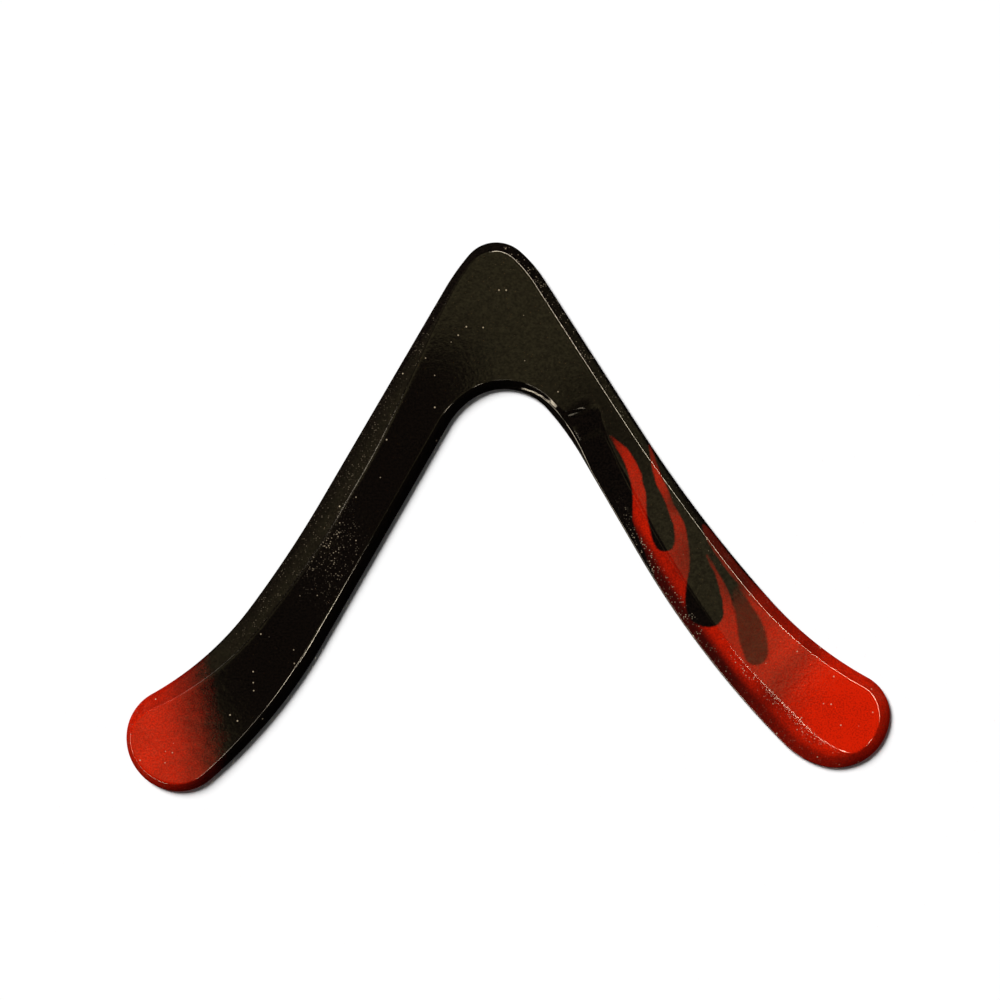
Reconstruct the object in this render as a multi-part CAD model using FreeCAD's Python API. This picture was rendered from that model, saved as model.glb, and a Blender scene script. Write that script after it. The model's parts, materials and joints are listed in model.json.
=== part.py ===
"""Two-arm returning boomerang, right-handed: shaped birch plywood, flame paint and gloss lacquer.

Millimetres and degrees.  +Z is up through the curved upper face, +Y points at the nose of the
elbow and +X runs along the span.  The origin is the middle of the underside's bounding box.

The blank is a stack of birch veneers bonded by glue films.  The whole outline is bevelled, so
every layer has its own outline: the rim is widest low down and the flat top is the smallest.
A thin colour coat wraps the wood, black with a red tip on each arm, and clear gloss lacquer
closes over everything.
"""

import FreeCAD
import Part
import math
import os

# ---- sheet and coats ----
PLY_THICKNESS = 0.5
GLUE_THICKNESS = 0.1
COLOUR_COAT = 0.10
CLEAR_COAT = 0.12
VENEER_NAMES = [
    "back_veneer",
    "lower_veneer_1",
    "lower_veneer_2",
    "lower_veneer_3",
    "core_veneer_1",
    "core_veneer_2",
    "upper_veneer_1",
    "upper_veneer_2",
    "upper_veneer_3",
    "face_veneer",
]
LAYER_PITCH = PLY_THICKNESS + GLUE_THICKNESS
WOOD_THICKNESS = len(VENEER_NAMES) * LAYER_PITCH - GLUE_THICKNESS
ALL_COATS = COLOUR_COAT + CLEAR_COAT

# ---- edge section ----
PLIES_BELOW_RIM = 3                 # the rim is widest at the top of this veneer
RIM_HEIGHT = PLIES_BELOW_RIM * LAYER_PITCH - GLUE_THICKNESS
LIP_TUCK = 0.9                      # how far the lower lip rounds in under the rim
BEVEL_CROWN = 1.5                   # 1 is a straight bevel, more is a fuller, rounder one
BROW_SLOPE = 1.0                    # rise over run of the narrow steep brow inside the elbow
STATION_SPACING = 8.0               # distance between construction stations along the rim
EXTENT_SPACING = 0.5                # finer spacing, used to find the outline's middle
SIDE_FACES = 12                     # side faces round each layer

# ---- rim, clockwise from the nose ----
# Name, length, turn (left is positive), then bevel width and brow width at its end.
# The two stretches with no length are straights that close the outline.
FIT = None
NOSE_BEVEL = 4.8
RIM = [
    ("nose_right", 14.5, -43.0, 5.2, 0.0),
    ("shoulder_right", 19.0, -15.5, 5.4, 0.0),
    ("straight_right", FIT, 0.0, 5.0, 0.0),
    ("narrow_sweep_right", 45.0, 3.5, 4.3, 0.0),
    ("sweep_right", 72.0, 5.5, 5.6, 0.0),
    ("flare_right", 67.0, 19.5, 5.3, 0.0),
    ("tip_right_outer", 26.5, -67.0, 6.0, 0.0),
    ("tip_right_end", 27.0, -54.3, 6.0, 0.0),
    ("tip_right_corner", 22.5, -45.2, 12.3, 0.0),
    ("tip_right_inner", 24.0, -30.0, 15.0, 0.0),
    ("inner_flare_right", 60.0, -6.8, 12.7, 0.0),
    ("inner_sweep_right", 68.0, -7.7, 12.5, 0.0),
    ("inner_straight_right", 35.0, 0.0, 13.5, 0.0),
    ("brow_right", 25.0, 0.0, 16.0, 2.0),
    ("elbow_entry", 10.0, 3.5, 19.5, 2.9),
    ("elbow_scoop", 7.0, 2.5, 23.0, 3.4),
    ("elbow_scoop_end", 8.0, 3.0, 6.0, 3.3),
    ("elbow_right", 7.0, 2.5, 4.8, 3.0),
    ("elbow", 44.0, 82.5, 4.5, 0.0),
    ("elbow_left", 19.5, 26.0, 5.0, 0.0),
    ("inner_straight_left", 90.0, 0.0, 5.0, 0.0),
    ("leading_left", 44.0, 0.0, 5.2, 0.0),
    ("inner_flare_left", 95.0, -19.5, 4.4, 0.0),
    ("tip_left_inner", 28.0, -62.0, 3.9, 0.0),
    ("tip_left_end", 37.0, -74.0, 2.4, 0.0),
    ("tip_left_outer", 25.5, -55.5, 7.0, 0.0),
    ("flare_left", 70.0, 24.0, 10.5, 0.0),
    ("sweep_left", 70.0, 6.5, 12.0, 0.0),
    ("wide_bevel_left", 20.0, 0.0, 12.0, 0.0),
    ("straight_left", FIT, 0.0, 4.0, 0.0),
    ("shoulder_left", 22.0, -10.0, 3.5, 0.0),
    ("nose_left", 16.0, -48.5, NOSE_BEVEL, 0.0),
]

# ---- paint, in the finished part's X and Y ----
# Each run is one side of a flame lick or the rounded foot of a dark gap between two licks.
FLAME_RUNS = [
    [(60, -13), (68.8, -1), (68.2, 10), (65, 25.5), (58, 39)],
    [(58, 39), (68, 31.6), (74, 18), (76.2, 2), (78, -13.5), (86.5, -22)],
    [(86.5, -22), (90.6, -14), (88.4, -2), (82, 12), (79, 22), (78.5, 35.5)],
    [(78.5, 35.5), (84, 28), (87, 12), (93, -3), (98.5, -22), (96.8, -39), (95.5, -50)],
    [(95.5, -50), (98, -57.5), (104, -61.8), (111.5, -63.4), (115, -54), (112, -37), (106, -23)],
    [(106, -23), (113.5, -34), (120, -47), (122.3, -60), (125, -74), (132, -83.8)],
    [(132, -83.8), (139, -80), (138.8, -68), (132, -54.5), (124, -41)],
    [(124, -41), (117, -30), (109, -17), (105, -8)],
    [(105, -8), (114, 2)],
]
OUTSIDE_RIGHT_ARM = [(240, 2), (240, -180), (110, -180), (60, -40)]
RIGHT_UNDERSIDE_FADE = [(160, -50), (150, -72), (128, -95), (110, -120)]
LEFT_TIP_FADE = [(-140, -40), (-149, -69), (-154, -98), (-154, -130), (-150, -160)]
OUTSIDE_LEFT_TIP = [(-230, -160), (-230, -40)]


def walk(x, y, heading, length, turn):
    """Follow a straight or a circular arc and return the new place and heading."""
    if turn == 0.0:
        return x + length * math.cos(heading), y + length * math.sin(heading), heading
    curvature = turn / length
    end = heading + turn
    x += (math.sin(end) - math.sin(heading)) / curvature
    y -= (math.cos(end) - math.cos(heading)) / curvature
    return x, y, end


def closing_lengths():
    """Lengths of the two open straights that bring the rim back to its start."""
    x = y = heading = 0.0
    directions = []
    for _name, length, turn, _bevel, _brow in RIM:
        if length is FIT:
            directions.append((math.cos(heading), math.sin(heading)))
        else:
            x, y, heading = walk(x, y, heading, length, math.radians(turn))
    (ax, ay), (bx, by) = directions
    area = ax * by - ay * bx
    return [(by * -x + bx * y) / area, (ay * x - ax * y) / area]


def smooth_values(places, values, wanted):
    """Monotone cubic through (place, value) pairs, read at each wanted place."""
    steps = [b - a for a, b in zip(places, places[1:])]
    slopes = [(b - a) / h for a, b, h in zip(values, values[1:], steps)]
    ends = [0.0]
    for left, right in zip(slopes, slopes[1:]):
        ends.append(2.0 * left * right / (left + right) if left * right > 0.0 else 0.0)
    ends.append(0.0)
    result = []
    for place in wanted:
        i = max(k for k in range(len(steps)) if places[k] <= place or k == 0)
        t = (place - places[i]) / steps[i]
        rise = values[i + 1] - values[i]
        bend = steps[i] * t * (1.0 - t)
        value = values[i] + rise * t * t * (3.0 - 2.0 * t)
        result.append(value + bend * ((1.0 - t) * ends[i] - t * ends[i + 1]))
    return result


def rim_rows(spacing):
    """Points round the rim as (distance, x, y, heading), then each stretch's end, bevel and brow."""
    open_lengths = closing_lengths()
    x = y = heading = travelled = 0.0
    rows = []
    places = [0.0]
    bevels = [NOSE_BEVEL]
    brows = [0.0]
    for _name, length, turn, bevel, brow in RIM:
        if length is FIT:
            length = open_lengths.pop(0)
        turn = math.radians(turn)
        count = max(2, round(length / spacing))
        for i in range(count):
            part = i / count
            rows.append((travelled + length * part, *walk(x, y, heading, length * part, turn * part)))
        x, y, heading = walk(x, y, heading, length, turn)
        travelled += length
        places.append(travelled)
        bevels.append(bevel)
        brows.append(brow)
    return rows, places, bevels, brows


def rim_stations():
    """Stations round the rim: x, y, inward x and y, bevel and brow; centred on the origin."""
    fine_rows, _places, _bevels, _brows = rim_rows(EXTENT_SPACING)
    middle_x = (max(row[1] for row in fine_rows) + min(row[1] for row in fine_rows)) / 2.0
    middle_y = (max(row[2] for row in fine_rows) + min(row[2] for row in fine_rows)) / 2.0
    rows, places, bevels, brows = rim_rows(STATION_SPACING)
    distances = [row[0] for row in rows]
    bevels = smooth_values(places, bevels, distances)
    brows = smooth_values(places, brows, distances)
    stations = []
    for (_distance, x, y, heading), bevel, brow in zip(rows, bevels, brows):
        inward = heading - math.pi / 2.0
        stations.append((x - middle_x, y - middle_y, math.cos(inward), math.sin(inward), bevel, brow))
    return stations


def inset_at(height, bevel, brow):
    """How far the wood's side lies inside the rim at this height above its underside."""
    if height <= RIM_HEIGHT:
        below = (RIM_HEIGHT - height) / RIM_HEIGHT
        return LIP_TUCK * (1.0 - math.sqrt(max(0.0, 1.0 - below * below)))
    above = height - RIM_HEIGHT
    brow_height = BROW_SLOPE * brow
    if above <= brow_height:
        return above / BROW_SLOPE
    part = (above - brow_height) / (WOOD_THICKNESS - RIM_HEIGHT - brow_height)
    crown = BEVEL_CROWN + (1.0 - BEVEL_CROWN) * min(1.0, brow)
    return brow + (bevel - brow) * part**crown


def outline(height, grow=0.0, lift=0.0):
    """Closed outline of the wood at one height, grown outward and moved up by a coat's thickness."""
    points = []
    for x, y, inward_x, inward_y, bevel, brow in STATIONS:
        inset = inset_at(height, bevel, brow) - grow
        points.append(
            FreeCAD.Vector(x + inward_x * inset, y + inward_y * inset, ALL_COATS + height + lift)
        )
    curve = Part.BSplineCurve()
    curve.interpolate(Points=points, PeriodicFlag=True, Parameters=list(range(len(points) + 1)))
    corners = [round(len(points) * i / SIDE_FACES) for i in range(SIDE_FACES + 1)]
    return Part.Wire([curve.toShape(start, end) for start, end in zip(corners, corners[1:])])


def layer(bottom, top):
    """One veneer or glue film: a flat sheet whose side follows the bevel."""
    return Part.makeLoft([outline(bottom), outline(top)], True, True)


def grown_blank(grow):
    """The shaped blank with every surface moved out by a coat's thickness."""
    heights = []
    for i in range(len(VENEER_NAMES)):
        heights += [i * LAYER_PITCH, i * LAYER_PITCH + PLY_THICKNESS]
    wires = [outline(h, grow, -grow) for h in heights if h <= RIM_HEIGHT + 1e-6]
    if grow > 0.0:
        wires.append(outline(RIM_HEIGHT, grow, grow))
    wires += [outline(h, grow, grow) for h in heights if h > RIM_HEIGHT + 1e-6]
    return Part.makeLoft(wires, True, True)


def curve_through(points):
    """A smooth edge through points in the plane."""
    vectors = [FreeCAD.Vector(x, y, 0.0) for x, y in points]
    if len(vectors) == 2:
        return Part.makeLine(*vectors)
    curve = Part.BSplineCurve()
    curve.interpolate(vectors)
    return curve.toShape()


def prism(runs, corners, bottom, top):
    """Upright block whose outline is smooth runs closed by straight lines through corners."""
    edges = [curve_through(run) for run in runs]
    closing = [runs[-1][-1]] + corners + [runs[0][0]]
    edges += [curve_through(pair) for pair in zip(closing, closing[1:])]
    face = Part.Face(Part.Wire(edges))
    face.translate(FreeCAD.Vector(0.0, 0.0, bottom))
    return face.extrude(FreeCAD.Vector(0.0, 0.0, top - bottom))


def red_areas():
    """Blocks that mark out where the colour coat is red: left tip, right tip with its flames."""
    floor = -1.0
    ceiling = 2.0 * ALL_COATS + WOOD_THICKNESS + 1.0
    rim = ALL_COATS + RIM_HEIGHT
    left = prism([LEFT_TIP_FADE], OUTSIDE_LEFT_TIP, floor, ceiling)
    flames = prism(FLAME_RUNS, OUTSIDE_RIGHT_ARM, rim, ceiling)
    under_tip = prism([RIGHT_UNDERSIDE_FADE], [(240, -180), (240, -50)], floor, rim)
    return left, flames.fuse(under_tip)


def single_solid(shape):
    """The one solid that a cut leaves, free of the boolean's wrapping."""
    if len(shape.Solids) != 1:
        raise ValueError(f"expected one solid, got {len(shape.Solids)}")
    return shape.Solids[0]


def wood_and_glue():
    """All veneers and the glue film between each pair, from the underside up."""
    pieces = {}
    for i, name in enumerate(VENEER_NAMES):
        bottom = i * LAYER_PITCH
        pieces[name] = layer(bottom, bottom + PLY_THICKNESS)
        if i + 1 < len(VENEER_NAMES):
            pieces[f"glue_film_{i + 1}"] = layer(bottom + PLY_THICKNESS, bottom + LAYER_PITCH)
    return pieces


def coats():
    """The colour coat in its three areas and the clear coat round it."""
    bare = grown_blank(0.0)
    painted = grown_blank(COLOUR_COAT)
    lacquered = grown_blank(ALL_COATS)
    colour = painted.cut(bare)
    left, right = red_areas()
    return {
        "red_tip_coat_left": single_solid(colour.common(left)),
        "red_flame_coat_right": single_solid(colour.common(right)),
        "black_colour_coat": single_solid(colour.cut(left).cut(right)),
        "clear_gloss_coat": single_solid(lacquered.cut(painted)),
    }


STATIONS = rim_stations()
os.makedirs("parts", exist_ok=True)
for node, shape in {**wood_and_glue(), **coats()}.items():
    shape.exportStep(f"parts/{node}.step")
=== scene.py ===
"""Looks of the two-arm boomerang: a lacquered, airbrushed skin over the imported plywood.

The skin is one closed mesh.  Its rim follows the same straights and arcs as the CAD outline, its
heights come from the frame, and its upper edge is cut in facets that meet in fine ridges.  The
paint is airbrush strokes: red licks, dark gaps between them, and a mist where red meets black.
Lengths are millimetres until a mesh is made; Blender's own objects are in metres.
"""

import json
import math

import bpy
import numpy as np
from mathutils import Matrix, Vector
from mathutils.geometry import delaunay_2d_cdt


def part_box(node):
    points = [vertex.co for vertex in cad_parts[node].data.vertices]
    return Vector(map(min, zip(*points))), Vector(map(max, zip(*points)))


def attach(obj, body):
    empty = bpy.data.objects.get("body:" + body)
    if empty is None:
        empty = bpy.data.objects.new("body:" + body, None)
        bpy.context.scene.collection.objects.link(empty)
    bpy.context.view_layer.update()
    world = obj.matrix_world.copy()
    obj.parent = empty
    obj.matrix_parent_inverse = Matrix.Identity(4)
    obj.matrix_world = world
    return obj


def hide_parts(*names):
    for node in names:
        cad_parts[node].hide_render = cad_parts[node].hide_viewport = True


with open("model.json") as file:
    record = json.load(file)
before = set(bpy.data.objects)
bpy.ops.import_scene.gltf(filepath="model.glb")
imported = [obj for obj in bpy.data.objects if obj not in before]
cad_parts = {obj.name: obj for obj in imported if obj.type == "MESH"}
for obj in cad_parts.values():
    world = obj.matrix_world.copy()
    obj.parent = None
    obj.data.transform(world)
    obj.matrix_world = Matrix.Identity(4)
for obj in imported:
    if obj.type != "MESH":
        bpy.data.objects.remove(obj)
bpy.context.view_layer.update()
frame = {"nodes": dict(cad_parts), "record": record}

MM = 0.001

# ---- heights, from the frame ----
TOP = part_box("clear_gloss_coat")[1].z / MM
WOOD_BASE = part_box("back_veneer")[0].z / MM
RIM_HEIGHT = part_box("glue_film_3")[0].z / MM      # the rim is widest just under this film
FILM = WOOD_BASE                  # both coats together, as thick on the rim as underneath
LIP_TUCK = 0.9                    # how far the lower lip rounds in under the rim

# ---- rim, clockwise from the nose ----
# name, length, turn in degrees (left is positive), then at its end: bevel width, brow width and
# the rounding of the ridge, a height
FIT = None                        # a straight as long as it takes to close the rim
NOSE_BEVEL = 4.8
SHARP, SOFT = 0.05, 0.15
RIM = [
    ("nose_right", 14.5, -43.0, 5.2, 0.0, SHARP),
    ("shoulder_right", 19.0, -15.5, 5.4, 0.0, SHARP),
    ("straight_right", FIT, 0.0, 5.0, 0.0, SHARP),
    ("narrow_sweep_right", 45.0, 3.5, 4.3, 0.0, SHARP),
    ("sweep_right", 72.0, 5.5, 5.6, 0.0, SHARP),
    ("flare_right", 67.0, 19.5, 5.3, 0.0, SHARP),
    ("tip_right_outer", 26.5, -67.0, 6.0, 0.0, SHARP),
    ("tip_right_end", 27.0, -54.3, 6.0, 0.0, SOFT),
    ("tip_right_corner", 22.5, -45.2, 12.3, 0.0, SHARP),
    ("tip_right_inner", 24.0, -30.0, 15.0, 0.0, SOFT),
    ("inner_flare_right", 60.0, -6.8, 12.7, 0.0, SOFT),
    ("inner_sweep_right", 68.0, -7.7, 12.5, 0.0, SOFT),
    ("inner_straight_right", 35.0, 0.0, 13.5, 0.0, SOFT),
    ("brow_right", 25.0, 0.0, 16.0, 2.0, SOFT),
    ("elbow_entry", 10.0, 3.5, 19.5, 2.9, SOFT),
    ("elbow_scoop", 7.0, 2.5, 23.0, 3.4, SOFT),
    ("elbow_scoop_end", 8.0, 3.0, 6.0, 3.3, SHARP),
    ("elbow_right", 7.0, 2.5, 4.8, 3.0, SHARP),
    ("elbow", 44.0, 82.5, 4.5, 0.0, SHARP),
    ("elbow_left", 19.5, 26.0, 5.0, 0.0, SHARP),
    ("inner_straight_left", 90.0, 0.0, 5.0, 0.0, SHARP),
    ("leading_left", 44.0, 0.0, 5.2, 0.0, SOFT),
    ("inner_flare_left", 95.0, -19.5, 4.4, 0.0, SHARP),
    ("tip_left_inner", 28.0, -62.0, 3.9, 0.0, SOFT),
    ("tip_left_end", 37.0, -74.0, 2.4, 0.0, SOFT),
    ("tip_left_outer", 25.5, -55.5, 7.0, 0.0, SOFT),
    ("flare_left", 70.0, 24.0, 10.5, 0.0, SOFT),
    ("sweep_left", 70.0, 6.5, 12.0, 0.0, SOFT),
    ("wide_bevel_left", 20.0, 0.0, 12.0, 0.0, SOFT),
    ("straight_left", FIT, 0.0, 4.0, 0.0, SOFT),
    ("shoulder_left", 22.0, -10.0, 3.5, 0.0, SOFT),
    ("nose_left", 16.0, -48.5, NOSE_BEVEL, 0.0, SHARP),
]
STATION_SPACING = 1.2
EXTENT_SPACING = 0.25

# ---- edge section: where each facet starts, as a share of the bevel's width, and its slope ----
FACETS = [(1.0, 0.60), (0.66, 0.85), (0.26, 1.30)]
LIP_SLOPE = 3.5                   # the small rounded lip just above the rim
BROW_SLOPE = 1.0                  # rise over run of the narrow steep brow inside the elbow
BROW_CLEARANCE = 0.14             # the lacquer pools a little thicker over the brow
FULL_BROW = 1.0                   # brow width from which the facets above it are one plane
LEAST_ROUNDING = 0.15             # share of a ridge's rounding that is left above a brow
RIDGE_BEVEL = 5.0                 # on a narrower bevel the ridge's rings lie closer together
LIP_STEPS = 6
# the mesh's rings: up the bevel as shares of its width, then across the ridge in millimetres
BEVEL_SHARES = [0.0, 0.004, 0.012, 0.025, 0.05, 0.09, 0.14, 0.19, 0.23, 0.26, 0.29, 0.34, 0.42,
                0.50, 0.57, 0.62, 0.66, 0.70, 0.76, 0.80]
RIDGE_STEPS = [-0.8, -0.5, -0.3, -0.18, -0.1, -0.04, 0.02, 0.08, 0.16, 0.28, 0.45, 0.75, 1.1, 1.6]
TOP_GRID = 1.4                    # spacing of the paint's sample points on the flat top
UNDER_GRID = 3.0                  # the same on the underside
FAR_FROM_RIM = 20.0               # inset given to the flat faces

# ---- airbrush strokes as (x, y, half width) along each one ----
RED_STROKES = [
    [(58, 39.5, 0.6), (64.5, 31.5, 2.3), (68.5, 24, 2.9), (71.5, 15, 3.4), (72.5, 5, 3.6),
     (72.5, -5, 3.8), (75.5, -14, 3.8), (80.5, -23, 5), (86, -33, 6.5)],
    [(78.5, 34.5, 0.5), (80.5, 25, 1.5), (83, 16, 2), (85, 11.5, 2.2), (87, 7, 1.9), (89, 2, 2),
     (91, -3, 2.5), (93, -8, 2.9), (94, -15, 3.5), (93.5, -26, 5), (91.5, -35, 6.3),
     (90, -43, 6.2), (89.5, -51, 5.7)],
    [(107.5, -24.5, 0.5), (111.5, -33, 1.3), (114, -38, 1.6), (116, -43, 2.1), (117.8, -48, 2.4),
     (118.5, -54, 3.1), (118, -60, 4.1), (116, -68, 7)],
    [(123, -41.5, 0.5), (129.5, -50, 2.2), (135, -57, 3.5), (140.5, -64, 5), (148, -74, 9),
     (158, -85, 14)],
    [(121.5, -43, 0.6), (124, -48, 3), (127.5, -56, 6), (131, -68, 9), (132, -78, 9)],
    [(87, -23, 3), (87.5, -30, 5)],
    [(104, -70, 7), (112, -71, 8.5), (122, -76, 9)],
    [(106.5, -9, 0.8), (110, -15, 2.6), (120, -30, 3.2), (130, -42, 3.4), (140, -52, 4),
     (150, -63, 7), (166, -73, 9), (186, -88, 12)],
    [(74.5, -16, 1), (82, -30, 4), (88, -43, 5), (93, -54, 5), (97, -61, 5), (104, -72, 7),
     (113, -80, 11), (126, -92, 15), (144, -97, 20), (168, -112, 28), (195, -128, 34)],
]
DARK_GAPS = [
    [(76, 23, 1.5), (76.5, 17, 2.5), (80.5, 7, 4.2), (82.3, -3, 5.7), (84.4, -13, 6),
     (85.3, -16.5, 5.5)],
    [(102.3, -23, 3.8), (104, -31, 5.6), (104.6, -38, 7.8), (105.1, -45, 9.2), (105.6, -52, 9.6),
     (108.2, -55.3, 7.6)],
]
# thinner red across the tip
THIN_BAND = [(141, -100, 7), (150, -88, 7), (160, -77, 6)]
# a dark gap half covered by red mist
VEILED_GAP = [(121.5, -43, 2.5), (124, -48, 4), (126.6, -54, 5), (129.2, -61, 6.6),
              (131, -68, 7.6), (132.4, -75, 7), (132.7, -77.3, 6.6)]
# dull lacquer in the scoop
DULL_STROKES = [[(34.5, 50.5, 3), (44.5, 56, 3)], [(44, 43, 4.5), (51, 41, 4.5)]]
# where the tip of a lick fades out: x, y, reach
GHOST_POINTS = [(57, 41, 8), (107, -24, 20), (123, -41, 9), (92, 4, 7)]
INNER_SIDE = np.array([0.81, 0.59])   # on the right arm, inward from its inner edge
LEFT_FADE_PLACE = (-155.5, -125.0)    # a point where red meets black on the left arm
LEFT_FADE_SLANT = 0.17
UNDERSIDE_FADE_X = 146.0              # where red meets black under the right arm
NO_FLAME = -30.0                      # depth given to the left arm, which has no licks
WRINKLE_PLACE = (-94.0, -14.0)        # middle of the wrinkled patch on the left arm
WRINKLE_REACH = (12.0, 20.0)

# ---- paint and lacquer ----
DUST_SCALE = 230.0                    # motes, in features per metre
GLINT_SCALE = 1000.0                  # painted glints, pale dots where the lacquer is rough, in features per metre
# colour of the motes and of the painted glints
DUST_AND_GLINT_COLOUR = (0.62, 0.50, 0.33, 1.0)
FULL_RED = (0.60, 0.0125, 0.0012, 1.0)
DIM_RED = (0.012, 0.002, 0.0015, 1.0)
DEEP_BLACK = (0.0014, 0.0011, 0.0009, 1.0)
PALE_BLACK = (0.0052, 0.0034, 0.0024, 1.0)
VEIL_COLOUR = (0.012, 0.004, 0.002, 1.0)

# ---- mirrored room ----
# Strips of light that the ridges mirror: first and last bearing and lowest and highest tilt from
# overhead, in degrees, then radiance.
LIGHT_STRIPS = [
    (-18.0, 92.0, 13.0, 20.0, 70.0),      # outer ridge of the right arm, nose to tip
    (-43.0, -38.0, 30.0, 35.0, 60.0),     # leading ridge of the left arm
    (-102.0, -84.0, 12.0, 15.5, 32.0),    # inner ridge near the right tip
    (-68.0, -62.0, 12.0, 15.5, 60.0),     # left end of the elbow
    (-180.0, -112.0, 60.0, 68.0, 20.0),   # the elbow's brow and the left tip
    (-178.0, -160.0, 46.0, 60.0, 40.0),   # end of the left tip
    (153.3, 153.7, 15.0, 18.0, 13.0),     # outer ridge of the left arm
]
STRIP_EDGES = (2.0, 1.5)          # how softly bearing and tilt end, in degrees
STRIP_COLOUR = (1.0, 0.87, 0.66)
PANEL_COLOUR = (0.84, 0.72, 0.34, 1.0)
ROOM_COLOUR = (0.010, 0.008, 0.008, 1.0)
# Side panels: bearings, their soft edge, tilts, their soft edge, and strength.
LEFT_PANEL = (134.0, 170.0, 10.0, 24.0, 60.0, 6.0, 0.36)
RIGHT_PANEL = (15.0, 30.0, 7.0, 48.0, 80.0, 6.0, 0.5)
# The overhead panel lies on a ceiling one unit up; its borders are (dark side, lit side).
PANEL_LEFT_BORDER = (-0.014, -0.002)
PANEL_NOSE_BORDER = (0.060, 0.078)
PANEL_LEFT_TIP_BORDER = (-0.176, -0.156)    # of across + LEFT_TIP_SKEW x along
LEFT_TIP_SKEW = 0.46
PANEL_RIGHT_TIP_STEP = (0.165, 0.190)       # of across - along: dimmer before it
PANEL_RIGHT_TIP_BORDER = (0.197, 0.212)
PANEL_DIMMER = 0.66
PANEL_REACH = (11.0, 13.0)                  # tilts between which it ends, in degrees
SHADE_PLACE = (0.045, 0.030)                # a darker spot in the panel
SHADE_REACH = (0.012, 0.040)
SHADE_LEVEL = 0.35

# ---- view ----
CAMERA_AIM = (-1.85, 7.2)
CAMERA_ROLL = -1.2                          # degrees
PICTURE_WIDTH = 535.0                       # across the picture, at the floor
LENS, SENSOR = 85.0, 36.0
BACKDROP_COLOUR = (0.9, 0.9, 0.9, 1.0)
LIGHT_FROM_ABOVE = (0.06, 0.06, 0.06, 1.0)
LIGHT_FROM_BELOW = (0.5, 0.5, 0.5, 1.0)
DAYLIGHT_FROM = (-0.75, 0.88, 1.0)
DAYLIGHT_STRENGTH = 5.0
DAYLIGHT_SPREAD = 27.0                      # degrees
FLOOR_COLOUR = (0.92, 0.92, 0.92, 1.0)
FLOOR_SIDE = 40.0                           # metres
FLOOR_DROP = 0.00005                        # metres below the underside


# ================= outline =================

def walk(x, y, heading, length, turn):
    """Follow a straight or a circular arc; length and turn may be arrays of partial steps."""
    if abs(np.max(np.abs(turn))) < 1e-12:
        return x + length * math.cos(heading), y + length * math.sin(heading), heading + turn
    radius = np.max(np.abs(length)) / np.max(np.abs(turn)) * (1.0 if np.max(turn) > 0.0 else -1.0)
    end = heading + turn
    x = x + (np.sin(end) - math.sin(heading)) * radius
    y = y - (np.cos(end) - math.cos(heading)) * radius
    return x, y, end


def closing_lengths():
    """Lengths of the two open straights that bring the rim back to its start."""
    x = y = heading = 0.0
    directions = []
    for _name, length, turn, *_section in RIM:
        if length is FIT:
            directions.append((math.cos(heading), math.sin(heading)))
        else:
            x, y, heading = walk(x, y, heading, length, math.radians(turn))
    return list(np.linalg.solve(np.array(directions).T, [-x, -y]))


def rim_rows(spacing):
    """Distance, x, y and heading round the rim, then each stretch's end with its section."""
    open_lengths = closing_lengths()
    x = y = heading = travelled = 0.0
    rows = []
    ends = [(0.0, NOSE_BEVEL, 0.0, SHARP)]
    for _name, length, turn, *section in RIM:
        if length is FIT:
            length = open_lengths.pop(0)
        turn = math.radians(turn)
        part = np.arange(max(2, round(length / spacing))) / max(2, round(length / spacing))
        px, py, direction = walk(x, y, heading, length * part, turn * part)
        rows.append(np.column_stack([travelled + length * part, px, py, direction]))
        x, y, heading = walk(x, y, heading, length, turn)
        travelled += length
        ends.append((travelled, *section))
    return np.concatenate(rows), np.array(ends)


def monotone(places, values, wanted):
    """Monotone cubic through (place, value) pairs, read at each wanted place."""
    steps = np.diff(places)
    slopes = np.diff(values) / steps
    left, right = slopes[:-1], slopes[1:]
    together = np.where(np.abs(left + right) < 1e-12, 1.0, left + right)
    inner = np.where(left * right > 0.0, 2.0 * left * right / together, 0.0)
    tangents = np.concatenate([[0.0], inner, [0.0]])
    i = np.clip(np.searchsorted(places, wanted, side="right") - 1, 0, len(steps) - 1)
    t = (wanted - places[i]) / steps[i]
    smooth = values[i] + (values[i + 1] - values[i]) * t * t * (3.0 - 2.0 * t)
    return smooth + steps[i] * t * (1.0 - t) * ((1.0 - t) * tangents[i] - t * tangents[i + 1])


def rim_stations():
    """Rim points and inward directions of the finished surface, then bevel, brow and softness."""
    fine, _ends = rim_rows(EXTENT_SPACING)
    middle = (fine[:, 1:3].max(0) + fine[:, 1:3].min(0)) / 2.0
    rows, ends = rim_rows(STATION_SPACING)
    inward = np.column_stack([np.cos(rows[:, 3] - math.pi / 2), np.sin(rows[:, 3] - math.pi / 2)])
    points = rows[:, 1:3] - middle - inward * FILM
    width, brow, softness = (monotone(ends[:, 0], column, rows[:, 0]) for column in ends[:, 1:].T)
    return points, inward, width + FILM, brow, softness


# ================= skin mesh =================

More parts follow.
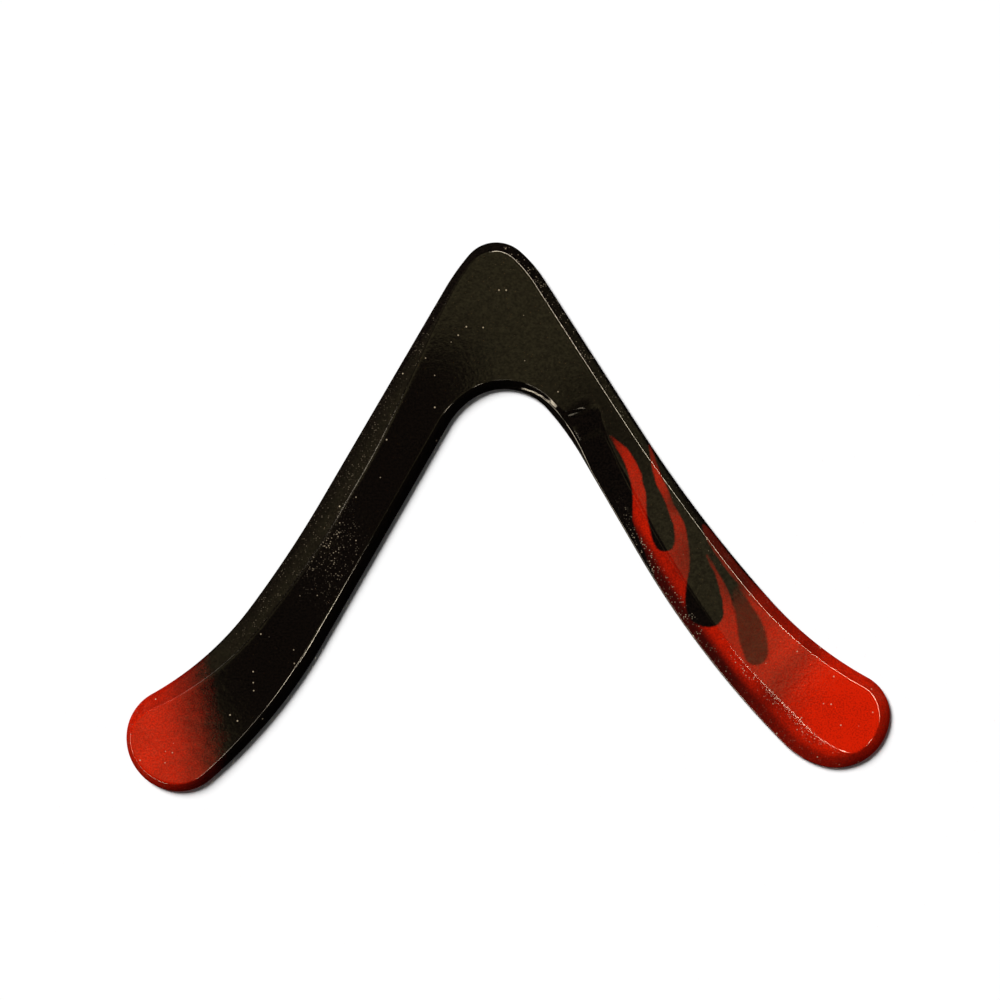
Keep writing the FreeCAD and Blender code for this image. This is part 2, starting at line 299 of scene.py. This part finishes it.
def bevel_height(inset, width, brow, softness):
    """Height of the upper edge at an inset from the rim: a soft minimum of flat, facets and brow."""
    brow_top = RIM_HEIGHT + BROW_SLOPE * brow
    rise_left = TOP - brow_top
    run_left = width - brow
    upper_inset = np.maximum(inset, brow)
    planes = [np.full_like(inset, TOP)]
    straightness = np.minimum(1.0, brow / FULL_BROW)      # above a brow the facets merge into one plane
    share_before, slope, start_height = 1.0, 0.0, np.full_like(width, TOP)
    for share, facet_slope in FACETS:
        start_height = start_height - (share_before - share) * slope * rise_left
        share_before, slope = share, facet_slope + (1.0 - facet_slope) * straightness
        run_below = brow + share * run_left - upper_inset
        planes.append(start_height - slope * rise_left / run_left * run_below)
    on_brow = BROW_SLOPE * np.minimum(inset, brow)
    past_brow = LIP_SLOPE * np.maximum(inset - brow, 0.0)
    planes.append(RIM_HEIGHT + FILM + on_brow + past_brow)
    planes[1:] = [plane + BROW_CLEARANCE * straightness for plane in planes[1:]]
    planes.append(RIM_HEIGHT + LIP_SLOPE * inset)
    rounding = softness * np.maximum(rise_left / (TOP - RIM_HEIGHT), LEAST_ROUNDING * straightness)
    stack = np.array(planes) / rounding
    low = stack.min(0)
    return rounding * (low - np.log(np.exp(low - stack).sum(0)))


def ring_table(points, inward, width, brow, softness):
    """Rings of points from under the lip, over the rim and the bevel, to the edge of the flat."""
    level = np.ones_like(width)
    sections = []
    for i in range(LIP_STEPS):
        angle = math.pi / 2 * (1.0 - i / LIP_STEPS)
        tuck = LIP_TUCK * (1.0 - math.cos(angle))
        sections.append((level * tuck, level * RIM_HEIGHT * (1.0 - math.sin(angle))))
    ridge_scale = np.minimum(1.0, width / RIDGE_BEVEL)
    insets = [share * width for share in BEVEL_SHARES]
    insets += [width + step * ridge_scale for step in RIDGE_STEPS]
    sections += [(inset, bevel_height(inset, width, brow, softness)) for inset in insets]
    sections[-1] = (insets[-1], level * TOP)
    rings = [np.column_stack([points + inward * inset[:, None], height]) for inset, height in sections]
    flatness = [np.clip((inset - width) / ridge_scale + 0.5, 0.0, 1.0) for inset, _height in sections]
    return rings, [inset for inset, _height in sections], flatness


def inside(outline, points):
    """Which points lie inside a closed outline, by counting crossings."""
    after = np.roll(outline, -1, axis=0)
    x, y = points[:, :1], points[:, 1:]
    straddles = (outline[:, 1] > y) != (after[:, 1] > y)
    run = np.where(after[:, 1] == outline[:, 1], 1.0, after[:, 1] - outline[:, 1])
    crossing = outline[:, 0] + (y - outline[:, 1]) / run * (after[:, 0] - outline[:, 0])
    return (straddles & (x < crossing)).sum(1) % 2 == 1


def fill_points(outline, spacing):
    """A triangular grid of points inside an outline, clear of its edge."""
    low, high = outline.min(0), outline.max(0)
    row_step = spacing * math.sqrt(3.0) / 2.0
    rows = np.arange(low[1], high[1], row_step)
    columns = np.arange(low[0], high[0], spacing)
    x, y = np.meshgrid(columns, rows)
    x = x + (np.arange(len(rows)) % 2)[:, None] * spacing / 2.0
    candidates = np.column_stack([x.ravel(), y.ravel()])
    candidates = candidates[inside(outline, candidates)]
    kept = []
    for block in np.array_split(candidates, 12):
        gap = np.sqrt(((block[:, None, :] - outline[None, :, :]) ** 2).sum(2)).min(1)
        kept.append(block[gap > 0.7 * spacing])
    return np.concatenate(kept)


def filled_face(outline, spacing):
    """Extra points inside an outline and the triangles that join them to it, anticlockwise."""
    extra = fill_points(outline, spacing)
    points = [Vector(p) for p in np.concatenate([outline, extra])]
    count = len(outline)
    edges = [(i, (i + 1) % count) for i in range(count)]
    result = delaunay_2d_cdt(points, edges, [], 1, 1e-7)
    originals = [ids[0] for ids in result[3]]
    triangles = [tuple(originals[v] for v in face) for face in result[2]]
    return extra, triangles


def ring_faces(ring_count, count):
    """Four-sided faces that join each ring of points to the next."""
    faces = []
    for ring in range(ring_count - 1):
        for i in range(count):
            a, b = ring * count + i, ring * count + (i + 1) % count
            faces.append((a, a + count, b + count, b))
    return faces


def skin_mesh():
    """The whole lacquered surface as one closed mesh: vertices, faces, and where paint lies."""
    stations = rim_stations()
    rings, insets, flatness = ring_table(*stations)
    count = len(rings[0])
    vertices = list(rings)
    facing = [stations[1] @ INNER_SIDE for _ring in rings]
    faces = ring_faces(len(rings), count)
    caps = [(rings[-1], TOP_GRID, TOP, True), (rings[0], UNDER_GRID, 0.0, False)]
    for ring, spacing, height, upward in caps:
        first = (len(rings) - 1) * count if upward else 0
        extra, triangles = filled_face(ring[:, :2], spacing)
        offset = sum(len(block) for block in vertices)
        vertices.append(np.column_stack([extra, np.full(len(extra), height)]))
        insets.append(np.full(len(extra), FAR_FROM_RIM))
        flatness.append(np.ones(len(extra)))
        facing.append(np.zeros(len(extra)))
        for triangle in triangles:
            face = [v + first if v < count else v - count + offset for v in triangle]
            faces.append(tuple(face if upward else reversed(face)))
    return faces, *(np.concatenate(blocks) for blocks in (vertices, insets, flatness, facing))


def make_skin():
    faces, vertices, inset, on_flat, facing = skin_mesh()
    mesh = bpy.data.meshes.new("lacquered_skin")
    mesh.from_pydata((vertices * MM).tolist(), [], faces)
    mesh.validate()
    mesh.shade_smooth()
    skin = bpy.data.objects.new("lacquered_skin", mesh)
    bpy.context.scene.collection.objects.link(skin)
    add_paint(mesh, vertices, inset, on_flat, facing)
    return skin


# ================= paint =================

def smooth_stroke(stations, steps=6):
    """Points along a stroke, rounded with a Catmull-Rom curve through its stations."""
    knots = np.array([stations[0], *stations, stations[-1]], float)
    t = (np.arange(steps) / steps)[:, None]
    parts = []
    for before, start, end, after in zip(knots, knots[1:], knots[2:], knots[3:]):
        bend = (end - before) * t + (2 * before - 5 * start + 4 * end - after) * t**2
        bend += (3 * start - before - 3 * end + after) * t**3
        parts.append(start + bend / 2)
    return np.concatenate([*parts, knots[-1:]])


def stroke_depth(points, stations):
    """How deep each point lies inside a stroke of changing width; negative outside it."""
    path = smooth_stroke(stations)
    depth = np.full(len(points), -1e9)
    for start, end in zip(path, path[1:]):
        run = end[:2] - start[:2]
        along = np.clip(((points - start[:2]) @ run) / max(run @ run, 1e-9), 0.0, 1.0)
        gap = np.linalg.norm(points - start[:2] - along[:, None] * run, axis=1)
        depth = np.maximum(depth, start[2] + along * (end[2] - start[2]) - gap)
    return depth


def carry(values, low, high, start=0.0, end=1.0):
    """Smoothly carry values from low..high to start..end."""
    t = np.clip((values - low) / (high - low), 0.0, 1.0)
    return start + (end - start) * t * t * (3.0 - 2.0 * t)


def red_strength(plan, inset, on_flat, facing):
    """How strong the red is: fullest at the right tip, darker low on the bevels than on the flat."""
    x = plan[:, 0]
    flat = carry(x, 128.0, 176.0, 0.50, 1.0)
    flat = flat * (1.0 - 0.35 * carry(stroke_depth(plan, THIN_BAND), -5.0, 6.0))
    lowest = carry(x, 115.0, 145.0, 0.08, 0.50)
    inner_bevel = lowest + (1.25 - lowest) * carry(inset, 4.0, 10.0)
    inner_bevel = inner_bevel * carry(x, 118.0, 140.0, 1.0, 0.62)
    outer_bevel = carry(x, 150.0, 190.0, 0.50, 0.66)
    bevel = outer_bevel + (inner_bevel - outer_bevel) * carry(facing, -0.6, 0.6)
    right = bevel * flat + (flat - bevel * flat) * on_flat
    left = carry(x, -200.0, -160.0, 0.78, 0.52) * (0.62 + 0.38 * on_flat)
    return np.where(x > 0.0, right, left)


def rough_and_glint_patches(plan, inset, on_flat, facing):
    """Where the lacquer dried rough, which is also where the painted glints lie, from 0 to 1."""
    x = plan[:, 0]
    bevel = 1.0 - on_flat
    right_inner = bevel * carry(facing, 0.2, 0.6) * carry(x, 58.0, 74.0)
    near_rim = carry(inset, 0.5, 2.0) * carry(inset, 5.0, 8.0, 1.0, 0.0)
    low_band = right_inner * near_rim * carry(x, 98.0, 114.0, 1.0, 0.12)
    ridge_band = right_inner * carry(inset, 8.5, 10.0) * carry(x, 112.0, 126.0)
    from_patch = (((plan - WRINKLE_PLACE) / WRINKLE_REACH) ** 2).sum(1)
    left_flat = 0.80 * on_flat * np.exp(-from_patch) * (x < 0.0)
    left_outer = bevel * carry(facing, 0.1, 0.3) * carry(x, -40.0, -20.0, 0.16, 0.0)
    lead_edge = bevel * carry(facing, -0.6, -0.3, 1.0, 0.0) * carry(x, 0.0, 8.0)
    lead_edge = lead_edge * carry(x, 40.0, 80.0, 0.6, 0.1)
    return np.max([low_band, ridge_band, left_flat, left_outer, lead_edge], axis=0)


def gloss_levels(plan, inset, on_flat, facing):
    """How glossy the lacquer is: duller on both outer bevels and in the scoop."""
    x = plan[:, 0]
    bevel = 1.0 - on_flat
    left_outer = bevel * carry(facing, 0.1, 0.3) * carry(x, -10.0, 0.0, 1.0, 0.0)
    right_outer = bevel * carry(facing, -0.3, 0.1, 1.0, 0.0) * carry(x, 84.0, 104.0)
    low_down = carry(inset, 1.0, 9.0, 0.72, 0.0)
    in_scoop = np.max([stroke_depth(plan, stroke) for stroke in DULL_STROKES], axis=0)
    scoop = carry(in_scoop, -2.5, 1.0, 1.0, 0.12)
    return (1.0 - left_outer * low_down - right_outer * 0.65) * scoop


def flame_depths(plan, height):
    """How deep each point lies inside the red licks; round the underside, behind a straight fade."""
    flame = np.max([stroke_depth(plan, stroke) for stroke in RED_STROKES], axis=0)
    flame = np.minimum(flame, -np.max([stroke_depth(plan, gap) for gap in DARK_GAPS], axis=0))
    flame = np.where(plan[:, 0] > 0.0, flame, NO_FLAME)
    under = np.clip((RIM_HEIGHT - height) / RIM_HEIGHT, 0.0, 1.0)
    return flame * (1.0 - under) + under * (plan[:, 0] - UNDERSIDE_FADE_X)


def flame_cover(plan):
    """How much of the red shows: less at the points where a lick fades out."""
    cover = np.ones(len(plan))
    for x, y, reach in GHOST_POINTS:
        gap = np.hypot(plan[:, 0] - x, plan[:, 1] - y) / reach
        cover *= 1.0 - 0.75 * np.exp(-gap * gap)
    return cover


def add_paint(mesh, vertices, inset, on_flat, facing):
    """Store on the mesh what the paint material reads; depths are in millimetres."""
    plan = vertices[:, :2]
    fade_x, fade_y = LEFT_FADE_PLACE
    layers = {
        "flame_depth": flame_depths(plan, vertices[:, 2]),
        "flame_cover": flame_cover(plan),
        "red_strength": red_strength(plan, inset, on_flat, facing),
        "veil_depth": stroke_depth(plan, VEILED_GAP),
        "left_depth": fade_x - plan[:, 0] - LEFT_FADE_SLANT * (plan[:, 1] - fade_y),
        "rough_and_glint_patch": rough_and_glint_patches(plan, inset, on_flat, facing),
        "gloss_level": gloss_levels(plan, inset, on_flat, facing),
    }
    for name, values in layers.items():
        layer = mesh.attributes.new(name, "FLOAT", "POINT")
        layer.data.foreach_set("value", values.astype(np.float32))


# ================= materials =================

def new_material(name):
    material = bpy.data.materials.new(name)
    material.use_nodes = True
    tree = material.node_tree
    tree.nodes.clear()
    return material, tree


def add_node(tree, kind, settings=None, **inputs):
    """Add a node, set its properties, and set or link its inputs by name or by i0, i1, ..."""
    node = tree.nodes.new(kind)
    for key, value in (settings or {}).items():
        setattr(node, key, value)
    for key, value in inputs.items():
        by_index = key[0] == "i" and key[1:].isdigit()
        socket = node.inputs[int(key[1:])] if by_index else node.inputs[key.replace("_", " ")]
        if isinstance(value, bpy.types.NodeSocket):
            tree.links.new(value, socket)
        else:
            socket.default_value = value
    return node


def maths(tree, operation, a, b=0.0):
    return add_node(tree, "ShaderNodeMath", {"operation": operation}, i0=a, i1=b).outputs[0]


def multiply(tree, *values):
    product = values[0]
    for value in values[1:]:
        product = maths(tree, "MULTIPLY", product, value)
    return product


def add(tree, a, b):
    return maths(tree, "ADD", a, b)


def subtract(tree, a, b):
    return maths(tree, "SUBTRACT", a, b)


def largest(tree, a, b):
    return maths(tree, "MAXIMUM", a, b)


def ramp(tree, value, low, high, start=0.0, end=1.0):
    """Smoothly carry value from low..high to start..end."""
    settings = {"interpolation_type": "SMOOTHSTEP"}
    ends = {"i1": low, "i2": high, "i3": start, "i4": end}
    return add_node(tree, "ShaderNodeMapRange", settings, i0=value, **ends).outputs[0]


def mix_colour(tree, share, a, b):
    settings = {"data_type": "RGBA"}
    return add_node(tree, "ShaderNodeMix", settings, i0=share, i6=a, i7=b).outputs[2]


def attribute(tree, name):
    return add_node(tree, "ShaderNodeAttribute", {"attribute_name": name}).outputs["Fac"]


def noise(tree, place, scale, detail=3.0, roughness=0.5):
    """Noise in 0..1 whose scale is in features per metre."""
    inputs = {"Vector": place, "Scale": scale, "Detail": detail, "Roughness": roughness}
    return add_node(tree, "ShaderNodeTexNoise", None, **inputs).outputs["Fac"]


def swing(tree, value, size):
    """Turn noise in 0..1 into a swing of the given size about zero."""
    return multiply(tree, subtract(tree, value, 0.5), size)


def cells(tree, place, scale):
    """Voronoi cells: the distance from each centre, and a random colour's red and green."""
    voronoi = add_node(tree, "ShaderNodeTexVoronoi", None, Vector=place, Scale=scale)
    colour = add_node(tree, "ShaderNodeSeparateColor", None, Color=voronoi.outputs["Color"])
    return voronoi.outputs["Distance"], colour.outputs[0], colour.outputs[1]


def vector_maths(tree, operation, output, **inputs):
    return add_node(tree, "ShaderNodeVectorMath", {"operation": operation}, **inputs).outputs[output]


def red_cover(tree, mist, drift):
    """How much red lies on the black: crisp flames, and a left tip that breaks up into speckles."""
    depth = add(tree, attribute(tree, "flame_depth"), swing(tree, drift, 1.2))
    depth = add(tree, depth, swing(tree, mist, 0.8))
    flame = multiply(tree, ramp(tree, depth, -0.6, 0.7), attribute(tree, "flame_cover"))
    left = add(tree, attribute(tree, "left_depth"), swing(tree, mist, 20.0))
    left = add(tree, left, swing(tree, drift, 12.0))
    return largest(tree, flame, ramp(tree, left, -8.0, 27.0))


def paint_colour(tree, place):
    """Airbrushed red over black, both mottled."""
    mist = noise(tree, place, 1400.0, 2.0, 0.6)
    drift = noise(tree, place, 160.0, 3.0)
    mottle = noise(tree, place, 90.0, 4.0, 0.6)
    fine = noise(tree, place, 1100.0, 1.0)
    broad = ramp(tree, mottle, 0.25, 0.75, 0.86, 1.12)
    narrow = ramp(tree, fine, 0.3, 0.7, 0.72, 1.24)
    red = mix_colour(
        tree, multiply(tree, attribute(tree, "red_strength"), broad, narrow), DIM_RED, FULL_RED
    )
    veil = ramp(tree, attribute(tree, "veil_depth"), -0.8, 1.2, 0.0, 0.80)
    red = mix_colour(tree, veil, red, VEIL_COLOUR)
    black = mix_colour(tree, ramp(tree, fine, 0.3, 0.7), DEEP_BLACK, PALE_BLACK)
    return mix_colour(tree, red_cover(tree, mist, drift), black, red)


def dust_and_glints(tree, place):
    """Pale specks: a few motes everywhere, and clusters of painted glints where the lacquer is rough.
    """
    distance, lot, _green = cells(tree, place, DUST_SCALE)
    place_x = add_node(tree, "ShaderNodeSeparateXYZ", None, Vector=place).outputs[0]
    rarity = ramp(tree, place_x, 0.11, 0.16, 0.82, 0.50)
    chosen = maths(tree, "GREATER_THAN", lot, rarity)
    motes = multiply(tree, chosen, ramp(tree, distance, 0.05, 0.13, 0.6, 0.0))

    # painted glints: pale dots in the colour, standing in for sparkle on the rough lacquer
    distance, _red, lot = cells(tree, place, GLINT_SCALE)
    chosen = maths(tree, "GREATER_THAN", lot, 0.6)
    clusters = ramp(tree, noise(tree, place, 260.0, 3.0, 0.6), 0.45, 0.58, 0.10, 0.60)
    painted_glints = multiply(tree, chosen, clusters, attribute(tree, "rough_and_glint_patch"))
    painted_glints = multiply(tree, painted_glints, ramp(tree, distance, 0.15, 0.45, 1.0, 0.0))
    return largest(tree, motes, painted_glints)


def orange_peel(tree, place):
    """A normal for the lacquer: shallow peel everywhere, and grit where it dried rough."""
    fine_peel = multiply(tree, noise(tree, place, 1000.0, 2.0, 0.6), 0.7)
    peel = add(tree, noise(tree, place, 420.0, 2.0), fine_peel)
    grit = multiply(tree, noise(tree, place, 800.0, 2.0, 0.7), attribute(tree, "rough_and_glint_patch"))
    relief = add(tree, multiply(tree, peel, 0.012), multiply(tree, grit, 0.08))
    return add_node(tree, "ShaderNodeBump", None, Height=relief, Strength=1.0, Distance=MM).outputs[0]


def gloss(tree, place):
    """How strongly the lacquer mirrors, broken up by fine and broad blotches."""
    fine = ramp(tree, noise(tree, place, 750.0, 3.0, 0.75), 0.36, 0.64, 0.50, 1.0)
    broad = ramp(tree, noise(tree, place, 320.0, 3.0, 0.7), 0.38, 0.62, 0.70, 1.0)
    return multiply(tree, fine, multiply(tree, broad, attribute(tree, "gloss_level")))


def paint_material():
    """Black and red airbrushed paint under gloss lacquer with a light orange peel."""
    material, tree = new_material("flame_paint_lacquered")
    place = add_node(tree, "ShaderNodeTexCoord").outputs["Object"]
    # motes and painted glints are mixed into the paint's colour
    colour = mix_colour(tree, dust_and_glints(tree, place), paint_colour(tree, place), DUST_AND_GLINT_COLOUR)
    bump = orange_peel(tree, place)
    settings = {
        "Base Color": colour,
        "Roughness": 0.45,
        "Normal": bump,
        "Specular IOR Level": 0.0,
        "Coat Weight": gloss(tree, place),
        "Coat Roughness": 0.04,
        "Coat IOR": 1.5,
        "Coat Normal": bump,
    }
    shader = add_node(tree, "ShaderNodeBsdfPrincipled", None, **settings)
    add_node(tree, "ShaderNodeOutputMaterial", None, Surface=shader.outputs[0])
    return material


def plain_shader(tree, **inputs):
    shader = add_node(tree, "ShaderNodeBsdfPrincipled", None, **inputs)
    add_node(tree, "ShaderNodeOutputMaterial", None, Surface=shader.outputs[0])


def veneer_material(name, light, dark, turned):
    """Birch: fine straight grain along one direction, with pores and faint figure."""
    material, tree = new_material(name)
    place = add_node(tree, "ShaderNodeTexCoord").outputs["Object"]
    stretch = (1200.0, 40.0, 1200.0) if turned else (40.0, 1200.0, 1200.0)
    grain_place = add_node(tree, "ShaderNodeMapping", None, Vector=place, Scale=stretch).outputs[0]
    grain = noise(tree, grain_place, 1.0, 6.0, 0.65)
    figure = noise(tree, place, 18.0, 3.0)
    colour = mix_colour(tree, ramp(tree, grain, 0.3, 0.7), dark, light)
    colour = mix_colour(tree, multiply(tree, figure, 0.35), colour, dark)
    bump = add_node(tree, "ShaderNodeBump", None, Height=grain, Strength=0.3, Distance=0.05 * MM)
    roughness = ramp(tree, grain, 0.2, 0.8, 0.5, 0.65)
    plain_shader(tree, Base_Color=colour, Roughness=roughness, Normal=bump.outputs[0])
    return material


def glue_material():
    """Cured phenolic film: dark red-brown, patchy where it has soaked into the wood."""
    material, tree = new_material("glue_film_resin")
    place = add_node(tree, "ShaderNodeTexCoord").outputs["Object"]
    patches = noise(tree, place, 220.0, 5.0, 0.6)
    colour = mix_colour(tree, patches, (0.05, 0.016, 0.008, 1.0), (0.13, 0.05, 0.022, 1.0))
    plain_shader(tree, Base_Color=colour, Roughness=ramp(tree, patches, 0.2, 0.8, 0.35, 0.6))
    return material


def dress_wood():
    """Give every carried-over CAD layer its own wood or resin material."""
    along, across = "birch_long_grain", "birch_cross_grain"
    slots = {
        along: veneer_material(along, (0.78, 0.60, 0.38, 1), (0.55, 0.37, 0.20, 1), False),
        across: veneer_material(across, (0.72, 0.54, 0.33, 1), (0.48, 0.32, 0.17, 1), True),
        "glue_film": glue_material(),
    }
    for part in frame["record"]["subparts"]:
        material = slots.get(part["material_slot"])
        if material:
            mesh = frame["nodes"][part["node"]].data
            mesh.materials.clear()
            mesh.materials.append(material)


# ================= stage =================

def make_floor():
    """A plain pale floor; only the camera sees it, and only from above."""
    half = FLOOR_SIDE / 2.0
    corners = [(-half, -half, 0.0), (half, -half, 0.0), (half, half, 0.0), (-half, half, 0.0)]
    mesh = bpy.data.meshes.new("floor")
    mesh.from_pydata(corners, [], [(0, 1, 2, 3)])
    floor = bpy.data.objects.new("floor", mesh)
    floor.location.z = -FLOOR_DROP
    bpy.context.scene.collection.objects.link(floor)
    material, tree = new_material("floor_paper")
    pale = add_node(tree, "ShaderNodeBsdfDiffuse", None, Color=FLOOR_COLOUR).outputs[0]
    clear = add_node(tree, "ShaderNodeBsdfTransparent").outputs[0]
    from_camera = add_node(tree, "ShaderNodeLightPath").outputs["Is Camera Ray"]
    from_below = add_node(tree, "ShaderNodeNewGeometry").outputs["Backfacing"]
    shown = multiply(tree, from_camera, subtract(tree, 1.0, from_below))
    both = add_node(tree, "ShaderNodeMixShader", None, i0=shown, i1=clear, i2=pale).outputs[0]
    add_node(tree, "ShaderNodeOutputMaterial", None, Surface=both)
    mesh.materials.append(material)


def window(tree, angle, low, high, edge):
    """One between two angles in degrees, fading to zero over edge outside them."""
    low, high, edge = (math.radians(value) for value in (low, high, edge))
    rise = ramp(tree, angle, low - edge, low)
    fall = ramp(tree, angle, high, high + edge, 1.0, 0.0)
    return multiply(tree, rise, fall)


def strip_light(tree, azimuth, tilt):
    """Radiance of the light strips in a direction."""
    bright = 0.0
    for first, last, low, high, radiance in LIGHT_STRIPS:
        across_strip = window(tree, azimuth, first, last, STRIP_EDGES[0])
        up_strip = window(tree, tilt, low, high, STRIP_EDGES[1])
        bright = largest(tree, bright, multiply(tree, across_strip, up_strip, radiance))
    return bright


def overhead_panel(tree, across, along, tilt):
    """Share of the overhead panel seen, by where a direction meets the ceiling."""
    lit = largest(tree, ramp(tree, across, *PANEL_LEFT_BORDER), ramp(tree, along, *PANEL_NOSE_BORDER))
    past_left = add(tree, across, multiply(tree, along, LEFT_TIP_SKEW))
    lit = largest(tree, lit, ramp(tree, past_left, *PANEL_LEFT_TIP_BORDER, 1.0, 0.0))
    to_right_tip = subtract(tree, across, along)
    lit = multiply(tree, lit, ramp(tree, to_right_tip, *PANEL_RIGHT_TIP_STEP, PANEL_DIMMER, 1.0))
    lit = multiply(tree, lit, ramp(tree, to_right_tip, *PANEL_RIGHT_TIP_BORDER, 1.0, 0.0))
    near, far = (math.radians(value) for value in PANEL_REACH)
    lit = multiply(tree, lit, ramp(tree, tilt, near, far, 1.0, 0.0))
    shade_x = subtract(tree, across, SHADE_PLACE[0])
    shade_y = subtract(tree, along, SHADE_PLACE[1])
    from_shade = add_node(tree, "ShaderNodeCombineXYZ", None, X=shade_x, Y=shade_y).outputs[0]
    reach = vector_maths(tree, "LENGTH", "Value", i0=from_shade)
    return multiply(tree, lit, ramp(tree, reach, *SHADE_REACH, SHADE_LEVEL, 1.0))


def side_panel(tree, azimuth, tilt, panel):
    first, last, side_edge, low, high, top_edge, strength = panel
    sideways = window(tree, azimuth, first, last, side_edge)
    upward = window(tree, tilt, low, high, top_edge)
    return multiply(tree, sideways, upward, strength)


def mirrored_room(tree, x, y, z):
    """What the lacquer mirrors: a dark room with soft olive panels and narrow strips of light."""
    above = largest(tree, z, 0.02)                # keeps the ceiling's reach finite
    across = maths(tree, "DIVIDE", x, above)      # where the direction meets a ceiling one unit up
    along = maths(tree, "DIVIDE", y, above)
    azimuth = maths(tree, "ARCTAN2", y, x)
    tilt = maths(tree, "ARCCOSINE", z)
    left = side_panel(tree, azimuth, tilt, LEFT_PANEL)
    right = side_panel(tree, azimuth, tilt, RIGHT_PANEL)
    panels = largest(tree, largest(tree, left, right), overhead_panel(tree, across, along, tilt))
    room = mix_colour(tree, panels, ROOM_COLOUR, PANEL_COLOUR)
    bright = strip_light(tree, azimuth, tilt)
    strips = vector_maths(tree, "SCALE", "Vector", i0=STRIP_COLOUR, Scale=bright)
    return vector_maths(tree, "ADD", "Vector", i0=room, i1=strips)


def make_surroundings():
    """Pale for the camera, faint for soft light, and the mirrored room for the lacquer."""
    world = bpy.data.worlds.new("studio")
    world.use_nodes = True
    world.cycles.sampling_method = "NONE"    # so that only mirror rays meet the mirrored room
    bpy.context.scene.world = world
    tree = world.node_tree
    tree.nodes.clear()
    direction = add_node(tree, "ShaderNodeTexCoord").outputs["Generated"]
    x, y, z = add_node(tree, "ShaderNodeSeparateXYZ", None, Vector=direction).outputs
    upward = maths(tree, "GREATER_THAN", z, 0.0)
    soft_light = mix_colour(tree, upward, LIGHT_FROM_BELOW, LIGHT_FROM_ABOVE)
    ray = add_node(tree, "ShaderNodeLightPath").outputs
    unmirrored = mix_colour(tree, ray["Is Camera Ray"], soft_light, BACKDROP_COLOUR)
    colour = mix_colour(tree, ray["Is Glossy Ray"], unmirrored, mirrored_room(tree, x, y, z))
    background = add_node(tree, "ShaderNodeBackground", None, Color=colour, Strength=1.0)
    add_node(tree, "ShaderNodeOutputWorld", None, Surface=background.outputs[0])


def make_key_light():
    """Broad daylight from the upper left, which gives the short soft shadow to the lower right."""
    data = bpy.data.lights.new("soft_daylight", "SUN")
    data.energy = DAYLIGHT_STRENGTH
    data.angle = math.radians(DAYLIGHT_SPREAD)
    light = bpy.data.objects.new("soft_daylight", data)
    light.rotation_euler = Vector(DAYLIGHT_FROM).to_track_quat("Z", "Y").to_euler()
    light.visible_glossy = False
    bpy.context.scene.collection.objects.link(light)


def make_camera():
    data = bpy.data.cameras.new("camera")
    data.lens = LENS
    data.sensor_width = SENSOR
    data.clip_start = 0.01
    camera = bpy.data.objects.new("camera", data)
    height = PICTURE_WIDTH * LENS / SENSOR
    camera.location = (CAMERA_AIM[0] * MM, CAMERA_AIM[1] * MM, height * MM)
    camera.rotation_euler = (0.0, 0.0, math.radians(CAMERA_ROLL))
    bpy.context.scene.collection.objects.link(camera)
    bpy.context.scene.camera = camera


skin = make_skin()
skin.data.materials.append(paint_material())
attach(skin, "root")
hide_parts("black_colour_coat", "red_tip_coat_left", "red_flame_coat_right", "clear_gloss_coat")
dress_wood()
make_floor()
make_surroundings()
make_key_light()
make_camera()
bpy.context.scene.view_settings.view_transform = "Standard"
